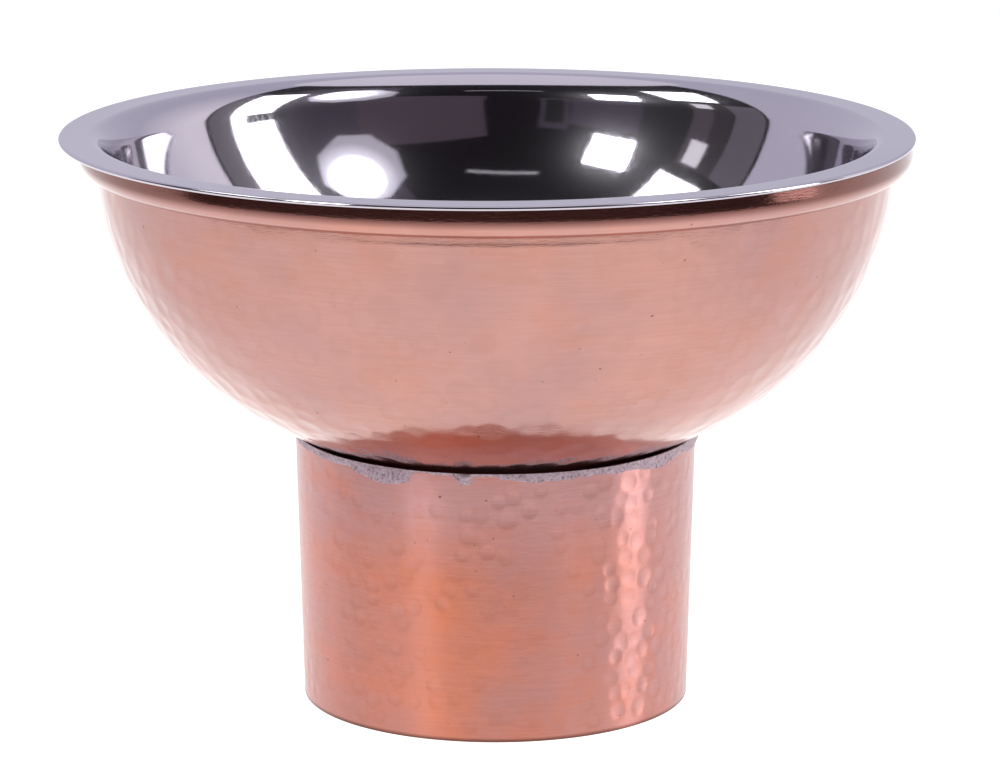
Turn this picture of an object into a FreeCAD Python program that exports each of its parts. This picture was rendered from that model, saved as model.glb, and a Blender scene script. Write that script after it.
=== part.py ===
import FreeCAD, Part
import math
import os

import Sketcher
from FreeCAD import Placement, Rotation, Vector

# Baptismal font: a hammered copper bowl soldered onto a rolled copper foot, with a polished steel
# basin that sits loose in the bowl and lifts out.
#
# Millimetres, +Z up. The origin is the centre of the circle that the foot stands on. The bowl and
# the foot share the Z axis. The basin has its own axis, a little to the -X side, because it lies
# loose on the bowl's edge.

# Driving dimensions: alias, value, meaning.
DIMENSIONS = [
    ("rim_height", 216.4, "foot's base to the top of the basin's brim"),
    ("brim_radius", 160.0, "outer radius of the basin's brim"),
    ("hem_width", 9.0, "width of the hem folded flat under the brim"),
    ("steel_sheet", 0.8, "thickness of the basin's sheet"),
    ("basin_radius", 142.2, "widest radius of the basin's wall, if it ran on upwards, inside"),
    ("basin_waist", 226.5, "height at which the basin's wall would stand upright"),
    ("basin_shoulder", 8.5, "radius of the shoulder between the brim and the wall"),
    ("basin_knuckle", 110.0, "section radius of the basin's upper wall, inside"),
    ("basin_crown", 172.0, "section radius of the basin's lower wall, inside"),
    ("basin_floor", 110.0, "height of the basin's flat floor, inside"),
    ("basin_floor_round", 12.0, "radius between the floor and the wall, inside"),
    ("basin_offset", 3.1, "how far the loose basin lies off the bowl's axis"),
    ("copper_sheet", 1.2, "thickness of the bowl's and the foot's sheet"),
    ("collar_radius", 156.0, "outer radius of the bowl's collar"),
    ("collar_band", 4.4, "height of the upright band at the top of the collar"),
    ("collar_round", 7.0, "section radius of the rounded lower part of the collar"),
    ("shell_radius", 149.25, "widest radius of the bowl's wall, if it ran on upwards"),
    ("shell_waist", 211.7, "height at which the bowl's wall would stand upright"),
    ("shell_knuckle", 114.8, "section radius of the bowl's upper wall, outside"),
    ("shell_crown", 182.6, "section radius of the bowl's lower wall, outside"),
    ("foot_top", 75.9, "outer radius of the foot at its top"),
    ("foot_base", 73.2, "outer radius of the foot at its base"),
    ("seam_width", 3.0, "width of the brazed seam up the back of the foot"),
    ("solder_leg", 4.0, "how far the solder reaches out along the bowl and down the foot"),
    ("solder_root", 0.8, "how far the solder runs in over the foot's top edge"),
    ("solder_hollow", 25.0, "section radius of the solder's hollow face"),
]

# Heights and radii that follow from the driving dimensions, as expressions.
COLLAR_TOP = "Sizes.rim_height - 2 * Sizes.steel_sheet"
COLLAR_CENTRE = "Sizes.rim_height - 2 * Sizes.steel_sheet - Sizes.collar_band"
SHELL_CENTRE = (
    "Sizes.shell_waist + sqrt((Sizes.shell_crown - Sizes.shell_knuckle) ^ 2"
    " - (Sizes.shell_radius - Sizes.shell_knuckle) ^ 2)"
)
FOOT_HEIGHT = (
    f"{SHELL_CENTRE} - sqrt(Sizes.shell_crown ^ 2 - (Sizes.foot_top - Sizes.copper_sheet) ^ 2)"
)
SEAM_ANGLE = "2 * asin(Sizes.seam_width / (2 * Sizes.foot_top)) / 1 deg"

START, END, CENTRE = 1, 2, 3
ORIGIN = (-1, 1)
V_AXIS = -2

doc = FreeCAD.newDocument("BaptismalFont")


def make_sheet():
    """The spreadsheet of driving dimensions. Returns the same numbers for placing first guesses."""
    sheet = doc.addObject("Spreadsheet::Sheet", "Sizes")
    for row, (alias, value, meaning) in enumerate(DIMENSIONS, start=1):
        sheet.set(f"A{row}", alias)
        sheet.set(f"B{row}", str(value))
        sheet.setAlias(f"B{row}", alias)
        sheet.set(f"C{row}", meaning)
    doc.recompute()
    return {alias: value for alias, value, meaning in DIMENSIONS}


def polar(centre, radius, degrees):
    """The point of a circle at an angle."""
    turn = math.radians(degrees)
    return (centre[0] + radius * math.cos(turn), centre[1] + radius * math.sin(turn))


class Outline:
    """A closed chain of lines and arcs on a body's XZ plane: x is the radius and y the height."""

    def __init__(self, body, name):
        self.sketch = body.newObject("Sketcher::SketchObject", name)
        plane = next(p for p in body.Origin.OriginFeatures if p.Role == "XZ_Plane")
        self.sketch.AttachmentSupport = [(plane, "")]
        self.sketch.MapMode = "FlatFace"
        self.first = None
        self.last = None

    def constrain(self, kind, *where):
        return self.sketch.addConstraint(Sketcher.Constraint(kind, *where))

    def join(self, one, other, smooth):
        self.constrain("Tangent" if smooth else "Coincident", *one, *other)

    def add(self, shape, backwards, smooth):
        """Adds a shape to the chain. A backwards one is walked from its end to its start."""
        index = self.sketch.addGeometry(shape, False)
        entry, leave = (END, START) if backwards else (START, END)
        if self.last is None:
            self.first = (index, entry)
        else:
            self.join(self.last, (index, entry), smooth)
        self.last = (index, leave)
        return index

    def line(self, start, end, smooth=False, lie=None):
        """A line, which lie can make Horizontal or Vertical."""
        shape = Part.LineSegment(Vector(*start, 0), Vector(*end, 0))
        index = self.add(shape, False, smooth)
        if lie:
            self.constrain(lie, index)
        return index

    def arc(self, centre, radius, low, high, backwards=False, smooth=False):
        """An arc from the angle low to the angle high, anticlockwise, in degrees."""
        circle = Part.Circle(Vector(*centre, 0), Vector(0, 0, 1), radius)
        shape = Part.ArcOfCircle(circle, math.radians(low), math.radians(high))
        return self.add(shape, backwards, smooth)

    def close(self):
        self.join(self.last, self.first, False)

    def on_axis(self, index, point):
        self.constrain("PointOnObject", index, point, V_AXIS)

    def drive(self, name, expression, kind, *where):
        """A named dimension that follows an expression of the sheet's cells."""
        value = self.sketch.evalExpression(expression)
        number = float(getattr(value, "Value", value))
        index = self.constrain(kind, *where, number)
        self.sketch.renameConstraint(index, name)
        self.sketch.setExpression(f"Constraints.{name}", expression)

    def drive_radius(self, name, expression, index):
        self.drive(name, expression, "Radius", index)

    def drive_x(self, name, expression, index, point):
        self.drive(name, expression, "DistanceX", *ORIGIN, index, point)

    def drive_y(self, name, expression, index, point):
        self.drive(name, expression, "DistanceY", *ORIGIN, index, point)


def revolve(body, outline, angle=None):
    """Turns an outline about the Z axis: all the way, or through an angle centred on +X."""
    feature = body.newObject("PartDesign::Revolution", body.Name + "_turned")
    feature.Profile = (outline.sketch, [""])
    feature.ReferenceAxis = (outline.sketch, ["V_Axis"])
    feature.Angle = 360
    if angle:
        feature.Midplane = True
        feature.setExpression("Angle", angle)
    outline.sketch.Visibility = False


def new_body(name):
    body = doc.addObject("PartDesign::Body", name)
    body.Label = name
    return body


def wall_places(widest, waist, knuckle, crown):
    """Where the two tangent arcs of a bowl's wall have their centres, and the angle they meet at."""
    knuckle_centre = (widest - knuckle, waist)
    rise = math.sqrt((crown - knuckle) ** 2 - knuckle_centre[0] ** 2)
    crown_centre = (0.0, waist + rise)
    meet = -math.degrees(math.atan2(rise, knuckle_centre[0]))
    return knuckle_centre, crown_centre, meet


def make_outer_bowl(size):
    """The copper bowl: a two-arc wall that runs up into a rounded collar with an upright band.

    The outline is the sheet's section, along its outside and back along its inside.
    """
    body = new_body("outer_bowl")
    outline = Outline(body, "bowl_section")
    knuckle_centre, crown_centre, meet = wall_places(
        size["shell_radius"], size["shell_waist"], size["shell_knuckle"], size["shell_crown"]
    )
    top = size["rim_height"] - 2 * size["steel_sheet"]
    collar_centre = (size["collar_radius"] - size["collar_round"], top - size["collar_band"])
    crease_angle = -4.0  # where the wall runs into the collar, seen from the knuckle's centre

    def crown_arc(side, inset, backwards, smooth):
        index = outline.arc(
            crown_centre, size["shell_crown"] - inset, -90, meet, backwards, smooth
        )
        outline.on_axis(index, CENTRE)
        outline.on_axis(index, START)
        outline.drive_radius(f"{side}_crown", f"Sizes.shell_crown - {side_inset[side]}", index)

    def knuckle_arc(side, inset, backwards, smooth):
        index = outline.arc(
            knuckle_centre,
            size["shell_knuckle"] - inset,
            meet,
            crease_angle,
            backwards,
            smooth,
        )
        outline.drive_radius(
            f"{side}_knuckle", f"Sizes.shell_knuckle - {side_inset[side]}", index
        )
        outline.drive_x(
            f"{side}_knuckle_x", "Sizes.shell_radius - Sizes.shell_knuckle", index, CENTRE
        )
        outline.drive_y(f"{side}_knuckle_y", "Sizes.shell_waist", index, CENTRE)

    def collar_arc(side, inset, backwards, smooth):
        index = outline.arc(
            collar_centre, size["collar_round"] - inset, -90, 0, backwards, smooth
        )
        outline.drive_radius(
            f"{side}_round", f"Sizes.collar_round - {side_inset[side]}", index
        )
        outline.drive_x(
            f"{side}_round_x", "Sizes.collar_radius - Sizes.collar_round", index, CENTRE
        )
        outline.drive_y(f"{side}_round_y", COLLAR_CENTRE, index, CENTRE)

    side_inset = {"outside": "0", "inside": "Sizes.copper_sheet"}
    sheet = size["copper_sheet"]
    outside, inside = size["collar_radius"], size["collar_radius"] - sheet
    low = collar_centre[1]

    crown_arc("outside", 0, backwards=False, smooth=False)
    knuckle_arc("outside", 0, backwards=False, smooth=True)
    collar_arc("outside", 0, backwards=False, smooth=False)
    band = outline.line((outside, low), (outside, top), smooth=True, lie="Vertical")
    outline.drive_y("collar_top", COLLAR_TOP, band, END)
    outline.line((outside, top), (inside, top), lie="Horizontal")
    outline.line((inside, top), (inside, low), lie="Vertical")
    collar_arc("inside", sheet, backwards=True, smooth=True)
    knuckle_arc("inside", sheet, backwards=True, smooth=False)
    crown_arc("inside", sheet, backwards=True, smooth=True)
    bottom = crown_centre[1] - size["shell_crown"]
    outline.line((0, bottom + sheet), (0, bottom))
    outline.close()
    revolve(body, outline)
    return body


def make_inner_basin(size):
    """The steel basin: flat floor, two-arc wall, rounded shoulder and a flat brim hemmed under.

    The outline runs out along the underside, round the brim's edge and back along the upper side.
    """
    body = new_body("inner_basin")
    outline = Outline(body, "basin_section")
    sheet = size["steel_sheet"]
    shoulder = size["basin_shoulder"]
    knuckle_centre, crown_centre, meet = wall_places(
        size["basin_radius"], size["basin_waist"], size["basin_knuckle"], size["basin_crown"]
    )
    reach = size["basin_knuckle"] + shoulder
    drop = size["basin_waist"] - (size["rim_height"] - shoulder)
    shoulder_centre = (
        knuckle_centre[0] + math.sqrt(reach**2 - drop**2),
        size["rim_height"] - shoulder,
    )
    lean = math.degrees(math.asin(drop / reach))  # of the wall's top, away from upright
    floor_round = size["basin_floor_round"]
    round_y = size["basin_floor"] + floor_round
    round_x = math.sqrt(
        (size["basin_crown"] - floor_round) ** 2 - (crown_centre[1] - round_y) ** 2
    )
    floor_meet = -math.degrees(math.atan2(crown_centre[1] - round_y, round_x))
    under = {"under": "+ Sizes.steel_sheet", "upper": ""}

    def floor_line(side, grow, backwards):
        ends = [(0, size["basin_floor"] - grow), (round_x, size["basin_floor"] - grow)]
        index = outline.line(*(reversed(ends) if backwards else ends), backwards, "Horizontal")
        inner_end = END if backwards else START
        outline.on_axis(index, inner_end)
        drop = "- Sizes.steel_sheet" if grow else ""
        outline.drive_y(f"{side}_floor", f"Sizes.basin_floor {drop}", index, inner_end)

    def floor_arc(side, grow, backwards):
        index = outline.arc(
            (round_x, round_y), floor_round + grow, -90, floor_meet, backwards, True
        )
        outline.drive_radius(
            f"{side}_floor_round", f"Sizes.basin_floor_round {under[side]}", index
        )

    def crown_arc(side, grow, backwards):
        radius = size["basin_crown"] + grow
        index = outline.arc(crown_centre, radius, floor_meet, meet, backwards, True)
        outline.on_axis(index, CENTRE)
        outline.drive_radius(f"{side}_crown", f"Sizes.basin_crown {under[side]}", index)

    def knuckle_arc(side, grow, backwards):
        radius = size["basin_knuckle"] + grow
        index = outline.arc(knuckle_centre, radius, meet, -lean, backwards, True)
        outline.drive_radius(f"{side}_knuckle", f"Sizes.basin_knuckle {under[side]}", index)
        outline.drive_x(
            f"{side}_knuckle_x", "Sizes.basin_radius - Sizes.basin_knuckle", index, CENTRE
        )
        outline.drive_y(f"{side}_knuckle_y", "Sizes.basin_waist", index, CENTRE)

    def shoulder_arc(side, grow, backwards):
        index = outline.arc(
            shoulder_centre, shoulder - grow, 90, 180 - lean, backwards, True
        )
        shrink = "- Sizes.steel_sheet" if grow else ""
        outline.drive_radius(f"{side}_shoulder", f"Sizes.basin_shoulder {shrink}", index)

    top = size["rim_height"]
    edge = size["brim_radius"] - sheet
    hem = size["brim_radius"] - size["hem_width"]

    floor_line("under", sheet, backwards=False)
    floor_arc("under", sheet, backwards=False)
    crown_arc("under", sheet, backwards=False)
    knuckle_arc("under", sheet, backwards=False)
    shoulder_arc("under", sheet, backwards=True)
    flat = outline.line(
        (shoulder_centre[0], top - sheet), (hem, top - sheet), smooth=True, lie="Horizontal"
    )
    outline.drive_y("brim_under", "Sizes.rim_height - Sizes.steel_sheet", flat, END)
    outline.line((hem, top - sheet), (hem, top - 2 * sheet), lie="Vertical")
    seat = outline.line((hem, top - 2 * sheet), (edge, top - 2 * sheet), lie="Horizontal")
    outline.drive_x("hem_inner", "Sizes.brim_radius - Sizes.hem_width", seat, START)
    outline.drive_y("seat_height", COLLAR_TOP, seat, START)
    bead = outline.arc((edge, top - sheet), sheet, -90, 90, smooth=True)
    outline.drive_x("brim_edge", "Sizes.brim_radius - Sizes.steel_sheet", bead, CENTRE)
    brim = outline.line((edge, top), (shoulder_centre[0], top), smooth=True, lie="Horizontal")
    outline.drive_y("brim_top", "Sizes.rim_height", brim, END)
    shoulder_arc("upper", 0, backwards=False)
    knuckle_arc("upper", 0, backwards=True)
    crown_arc("upper", 0, backwards=True)
    floor_arc("upper", 0, backwards=True)
    floor_line("upper", 0, backwards=True)
    outline.line((0, size["basin_floor"]), (0, size["basin_floor"] - sheet))
    outline.close()
    revolve(body, outline)
    body.setExpression(".Placement.Base.x", "-Sizes.basin_offset")
    return body


def make_foot_wall(name, angle, turn, size, height):
    """Part of the foot's conical sheet wall, through an angle centred on +X and turned into place."""
    body = new_body(name)
    outline = Outline(body, name + "_section")
    sheet = size["copper_sheet"]
    base, top = size["foot_base"], size["foot_top"]
    bottom = outline.line((base - sheet, 0), (base, 0), lie="Horizontal")
    outline.line((base, 0), (top, height))
    upper = outline.line((top, height), (top - sheet, height), lie="Horizontal")
    outline.line((top - sheet, height), (base - sheet, 0))
    outline.close()
    outline.drive_x("base_inner", "Sizes.foot_base - Sizes.copper_sheet", bottom, START)
    outline.drive_x("base_outer", "Sizes.foot_base", bottom, END)
    outline.constrain("PointOnObject", bottom, START, -1)
    outline.drive_x("top_outer", "Sizes.foot_top", upper, START)
    outline.drive_x("top_inner", "Sizes.foot_top - Sizes.copper_sheet", upper, END)
    outline.drive_y("top_height", FOOT_HEIGHT, upper, START)
    revolve(body, outline, angle)
    body.Placement = Placement(Vector(), Rotation(Vector(0, 0, 1), turn))
    return body


def make_solder_fillet(size, height, crown_centre):
    """The tin solder in the angle between the bowl and the foot, run in over the foot's edge."""
    body = new_body("solder_fillet")
    outline = Outline(body, "solder_section")
    crown = size["shell_crown"]
    inner = size["foot_top"] - size["solder_root"]
    outer = size["foot_top"] + size["solder_leg"]
    low = height - size["solder_leg"]
    slope = (size["foot_top"] - size["foot_base"]) / height
    toe = (size["foot_top"] - slope * size["solder_leg"], low)

    def angle_on_crown(radius):
        return -math.degrees(math.acos(radius / crown))

    root, lip = (polar(crown_centre, crown, angle_on_crown(r)) for r in (inner, outer))
    hollow = hollow_centre(lip, toe, size["solder_hollow"])
    to_lip, to_toe = (
        math.degrees(math.atan2(p[1] - hollow[1], p[0] - hollow[0])) % 360 for p in (lip, toe)
    )

    start = outline.line((inner, height), root, lie="Vertical")
    outline.drive_x("root_radius", "Sizes.foot_top - Sizes.solder_root", start, START)
    outline.drive_y("root_height", FOOT_HEIGHT, start, START)
    bowl_side = outline.arc(
        crown_centre, crown, angle_on_crown(inner), angle_on_crown(outer)
    )
    outline.on_axis(bowl_side, CENTRE)
    outline.drive_y("crown_height", SHELL_CENTRE, bowl_side, CENTRE)
    outline.drive_radius("crown", "Sizes.shell_crown", bowl_side)
    outline.drive_x("lip_radius", "Sizes.foot_top + Sizes.solder_leg", bowl_side, END)
    face = outline.arc(hollow, size["solder_hollow"], to_lip, to_toe)
    outline.drive_radius("hollow", "Sizes.solder_hollow", face)
    foot_side = outline.line(toe, (size["foot_top"], height))
    outline.drive_y("toe_height", f"{FOOT_HEIGHT} - Sizes.solder_leg", foot_side, START)
    outline.drive_x(
        "toe_radius",
        "Sizes.foot_top - (Sizes.foot_top - Sizes.foot_base) * Sizes.solder_leg"
        f" / ({FOOT_HEIGHT})",
        foot_side,
        START,
    )
    outline.drive_x("foot_edge", "Sizes.foot_top", foot_side, END)
    outline.line((size["foot_top"], height), (inner, height), lie="Horizontal")
    outline.close()
    revolve(body, outline)
    return body


def hollow_centre(lip, toe, radius):
    """The centre, outside the angle, of the circle through the solder's two outer corners."""
    middle = ((lip[0] + toe[0]) / 2, (lip[1] + toe[1]) / 2)
    across = (lip[0] - toe[0], lip[1] - toe[1])
    length = math.hypot(*across)
    away = math.sqrt(radius**2 - (length / 2) ** 2)
    return (middle[0] + across[1] / length * away, middle[1] - across[0] / length * away)


def check(bodies):
    """Stops if an object of the document failed or a sub-part has no sound solid."""
    for item in doc.Objects:
        for state in ("Invalid", "Error"):
            if state in item.State:
                raise RuntimeError(f"{item.Name} is {item.State}")
    for body in bodies:
        shape = body.Shape
        if shape.isNull() or not shape.isValid() or len(shape.Solids) != 1:
            raise RuntimeError(f"{body.Label} has no single sound solid")


def main():
    size = make_sheet()
    knuckle_centre, crown_centre, meet = wall_places(
        size["shell_radius"], size["shell_waist"], size["shell_knuckle"], size["shell_crown"]
    )
    inner_edge = size["foot_top"] - size["copper_sheet"]
    height = crown_centre[1] - math.sqrt(size["shell_crown"] ** 2 - inner_edge**2)
    bodies = [
        make_inner_basin(size),
        make_outer_bowl(size),
        make_foot_wall("foot_tube", f"360 - {SEAM_ANGLE}", -90, size, height),
        make_foot_wall("foot_seam", SEAM_ANGLE, 90, size, height),
        make_solder_fillet(size, height, crown_centre),
    ]
    doc.recompute()
    check(bodies)
    os.makedirs("parts", exist_ok=True)
    for body in bodies:
        body.Shape.exportStep(f"parts/{body.Label}.step")
        box = body.Shape.BoundBox
        print(
            f"{body.Label}: {body.Shape.Volume / 1000:.2f} cm3,"
            f" z {box.ZMin:.2f} to {box.ZMax:.2f}, x {box.XMin:.2f} to {box.XMax:.2f}"
        )


main()
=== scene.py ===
import math

import bmesh
import bpy
import numpy as np
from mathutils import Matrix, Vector


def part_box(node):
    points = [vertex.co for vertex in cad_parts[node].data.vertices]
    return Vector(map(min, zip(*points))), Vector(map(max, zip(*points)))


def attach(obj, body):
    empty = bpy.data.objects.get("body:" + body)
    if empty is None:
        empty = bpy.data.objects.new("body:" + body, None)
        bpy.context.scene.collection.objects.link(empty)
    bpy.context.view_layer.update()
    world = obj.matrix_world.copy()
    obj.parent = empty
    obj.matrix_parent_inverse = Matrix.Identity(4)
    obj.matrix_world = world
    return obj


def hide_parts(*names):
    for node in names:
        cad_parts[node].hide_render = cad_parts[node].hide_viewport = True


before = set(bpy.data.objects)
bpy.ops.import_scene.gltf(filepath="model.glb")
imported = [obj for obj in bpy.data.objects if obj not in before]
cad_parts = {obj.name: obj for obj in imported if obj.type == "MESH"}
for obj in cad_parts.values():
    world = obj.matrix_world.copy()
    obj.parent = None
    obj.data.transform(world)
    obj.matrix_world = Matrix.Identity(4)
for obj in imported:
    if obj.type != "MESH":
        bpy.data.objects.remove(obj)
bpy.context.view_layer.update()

# A table-top baptismal font: a hammered copper bowl soldered onto a rolled copper foot, and a
# polished steel basin that lies loose in the bowl. Metres, +Z up, -Y towards the camera.

rng = np.random.default_rng(1871)

MM = 0.001

# Places that the CAD model gives.
basin_low, basin_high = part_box("inner_basin")
bowl_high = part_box("outer_bowl")[1]
foot_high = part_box("foot_tube")[1]

BASIN_X = (basin_low.x + basin_high.x) / 2
BRIM_RADIUS = (basin_high.x - basin_low.x) / 2
RIM_HEIGHT = basin_high.z
COLLAR_TOP = bowl_high.z
COLLAR_RADIUS = bowl_high.x
FOOT_TOP = foot_high.z
FOOT_TOP_RADIUS = foot_high.x

# Dimensions that the boxes don't give. All but the basin's shoulder are the CAD model's.
STEEL = 0.8 * MM
COPPER = 1.2 * MM
BASIN_RADIUS, BASIN_WAIST = 142.2 * MM, 226.5 * MM
BASIN_KNUCKLE, BASIN_CROWN = 110 * MM, 172 * MM
BASIN_FLOOR, BASIN_FLOOR_ROUND, HEM_WIDTH = 110 * MM, 12 * MM, 9 * MM
# The shoulder: a tight bend at the brim turns through BRIM_TURN degrees, then a wider one goes on.
BRIM_BEND, BASIN_SHOULDER, BRIM_TURN = 5.5 * MM, 18 * MM, 46
SHELL_RADIUS, SHELL_WAIST = 149.25 * MM, 211.7 * MM
SHELL_KNUCKLE, SHELL_CROWN = 114.8 * MM, 182.6 * MM
COLLAR_BAND, COLLAR_ROUND = 4.4 * MM, 7 * MM
FOOT_BASE_RADIUS = 73.2 * MM
SEAM_WIDTH = 3 * MM

# Heights above the whole font, for a copper without a painted reflection on its top.
NO_PAINTED_TOP_REFLECTION = (0.3, 0.4)

# Columns of faces round each piece.
BOWL_COLUMNS, FOOT_COLUMNS, SOLDER_COLUMNS, BASIN_COLUMNS = 640, 640, 1080, 560
TABLE_COLUMNS = 144

# Sockets of the colour mix node that share a name, by number.
MIX_FACTOR, MIX_FIRST, MIX_SECOND, MIX_RESULT = 0, 6, 7, 2


# Outlines: lists of (radius, height) points, walked so that the metal lies on the left.


def arc(centre, radius, start, end, step):
    """Points along an arc from one angle to another, in degrees, about step apart."""
    count = max(2, math.ceil(radius * abs(math.radians(end - start)) / step) + 1)
    turn = np.radians(np.linspace(start, end, count))
    return np.column_stack([centre[0] + radius * np.cos(turn), centre[1] + radius * np.sin(turn)])


def line(start, end, step):
    """Points along a straight run, about step apart."""
    start, end = np.array(start), np.array(end)
    count = max(2, math.ceil(np.linalg.norm(end - start) / step) + 1)
    return start + np.linspace(0, 1, count)[:, None] * (end - start)


def joined(*runs):
    """Runs end to end, with the points that they share kept once."""
    points = [runs[0]]
    for run in runs[1:]:
        shared = np.linalg.norm(run[0] - points[-1][-1]) < 0.01 * MM
        points.append(run[1:] if shared else run)
    return np.vstack(points)


def outward(points):
    """The outward direction at each point of an outline: to the right of the way it is walked."""
    ahead = np.gradient(points, axis=0)
    ahead /= np.linalg.norm(ahead, axis=1)[:, None]
    return np.column_stack([ahead[:, 1], -ahead[:, 0]])


def run_length(points):
    """How far along the outline each point lies."""
    steps = np.linalg.norm(np.diff(points, axis=0), axis=1)
    return np.concatenate([[0], np.cumsum(steps)])


def wall_centres(widest, waist, knuckle, crown):
    """Centres of the two tangent arcs of a bowl's wall, and the angle at which they meet."""
    knuckle_centre = (widest - knuckle, waist)
    rise = math.sqrt((crown - knuckle) ** 2 - knuckle_centre[0] ** 2)
    meet = -math.degrees(math.atan2(rise, knuckle_centre[0]))
    return knuckle_centre, (0, waist + rise), meet


# Meshes turned from outlines.


def turned(name, outline, columns, relief=None, axis_x=0.0, sector=None):
    """A closed outline turned about an upright axis: all the way, or through a sector (from, to).

    An outline that starts and ends on the axis closes there. relief pushes each grid point along
    its outward direction.
    """
    start, end = sector or (0, 2 * math.pi)
    angles = np.linspace(start, end, columns, endpoint=sector is not None)
    push = np.zeros((len(outline), columns)) if relief is None else relief
    way = outward(outline)
    radius = outline[:, 0:1] + way[:, 0:1] * push
    height = outline[:, 1:2] + way[:, 1:2] * push
    grid = np.stack(
        [axis_x + radius * np.cos(angles), radius * np.sin(angles), height], axis=-1
    )
    rows = len(outline)
    index = np.arange(rows * columns).reshape(rows, columns)
    beside = np.roll(index, -1, axis=1) if sector is None else index[:, 1:]
    here = index if sector is None else index[:, :-1]
    poles = outline[0, 0] < 0.01 * MM and outline[-1, 0] < 0.01 * MM
    first, last = (1, rows - 1) if poles else (0, rows)
    quads = [
        np.stack([here[i], beside[i], beside[i + 1], here[i + 1]], axis=-1)
        for i in range(first, last - 1)
    ]
    faces = np.concatenate(quads).tolist()
    if poles:
        faces += [(index[0, 0], b, a) for a, b in zip(here[1], beside[1])]
        faces += [(a, b, index[-1, 0]) for a, b in zip(here[-2], beside[-2])]
    else:
        closing = np.stack([here[-1], beside[-1], beside[0], here[0]], axis=-1)
        faces += closing.tolist()
    if sector is not None:
        faces.append(index[:, 0].tolist())
        faces.append(index[::-1, -1].tolist())
    return mesh_object(name, grid.reshape(-1, 3), faces)


def mesh_object(name, points, faces, crease=35):
    """A smooth-shaded mesh with sharp edges where its faces turn by more than crease degrees."""
    mesh = bpy.data.meshes.new(name)
    mesh.from_pydata([tuple(p) for p in points], [], faces)
    tidy = bmesh.new()
    tidy.from_mesh(mesh)
    loose = [v for v in tidy.verts if not v.link_faces]
    bmesh.ops.delete(tidy, geom=loose, context="VERTS")
    tidy.to_mesh(mesh)
    tidy.free()
    mesh.shade_smooth()
    mesh.set_sharp_from_angle(angle=math.radians(crease))
    piece = bpy.data.objects.new(name, mesh)
    bpy.context.scene.collection.objects.link(piece)
    return piece


# Hammer marks.


def ring_marks(places, radius_at, gap, size, depth, waver):
    """Marks in rings: (angle, place along the outline, half width, half height, depth) each.

    waver(angle, place) scales the depth, so that some parts are struck harder than others.
    """
    marks = []
    for place in places:
        count = round(2 * math.pi * radius_at(place) / gap)
        turn = rng.uniform(0, 2 * math.pi)
        for k in range(count):
            angle = turn + (k + rng.uniform(-0.3, 0.3)) * 2 * math.pi / count
            where = place + rng.normal(0, 0.18 * gap)
            half = size * rng.uniform(0.8, 1.15)
            struck = waver(angle, where)
            strength = depth * rng.uniform(0.4, 1.0) * struck
            if rng.random() > 1.25 * struck + 0.1:
                continue
            marks.append((angle % (2 * math.pi), where, half, half * rng.uniform(0.9, 1.15), strength))
    return marks


def pressed(outline, columns, marks, start=0.0, span=2 * math.pi):
    """The relief of round hammer marks on a turned grid. Where marks meet, the deeper one wins."""
    along = run_length(outline)
    relief = np.zeros((len(outline), columns))
    step = span / columns
    for angle, place, wide, tall, depth in marks:
        rows = np.flatnonzero(np.abs(along - place) < tall)
        if len(rows) == 0:
            continue
        radius = outline[rows, 0].mean()
        centre = (angle - start) / step
        reach = wide / radius / step
        cells = np.arange(math.ceil(centre - reach), math.floor(centre + reach) + 1)
        across = (cells - centre) * step * radius / wide
        down = (along[rows] - place) / tall
        dish = 1 - across[None, :] ** 2 - down[:, None] ** 2
        patch = np.ix_(rows, cells % columns)
        relief[patch] = np.minimum(relief[patch], -depth * np.clip(dish, 0, None))
    return relief


def remember_marks(piece, relief, depth):
    """Keeps how deeply each place was struck, 0 to 1, for the material.

    A piece that closes on its axis has a single vertex at each pole.
    """
    struck = np.clip(-relief / depth, 0, 1)
    values = struck.ravel()
    if len(piece.data.vertices) < struck.size:
        values = np.concatenate([struck[0, :1], struck[1:-1].ravel(), struck[-1, :1]])
    kept = piece.data.attributes.new("struck", "FLOAT", "POINT")
    kept.data.foreach_set("value", values.astype(np.float32))


def slow_field(waves, scale_angle, scale_place):
    """A smooth wandering field over angle and place, about 0 to 1."""
    phases = rng.uniform(0, 2 * math.pi, (waves, 3))
    turns = rng.integers(1, scale_angle + 1, waves)

    def field(angle, place):
        total = sum(
            math.sin(turns[i] * angle + phases[i, 0])
            * math.sin(place / scale_place * (0.6 + phases[i, 2] / 6) + phases[i, 1])
            for i in range(waves)
        )
        return min(1.0, max(0.0, 0.5 + total / waves * 1.4))

    return field


def degrees_from_front(angles):
    """Degrees to the right of the front, -180 to 180."""
    return np.degrees((angles + math.pi / 2 + math.pi) % (2 * math.pi) - math.pi)


def from_front(knots):
    """A value that changes round a piece. knots are (degrees to the right of the front, value)."""
    where, what = zip(*knots)
    return lambda angles: np.interp(degrees_from_front(angles), where, what)


# Materials.


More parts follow.
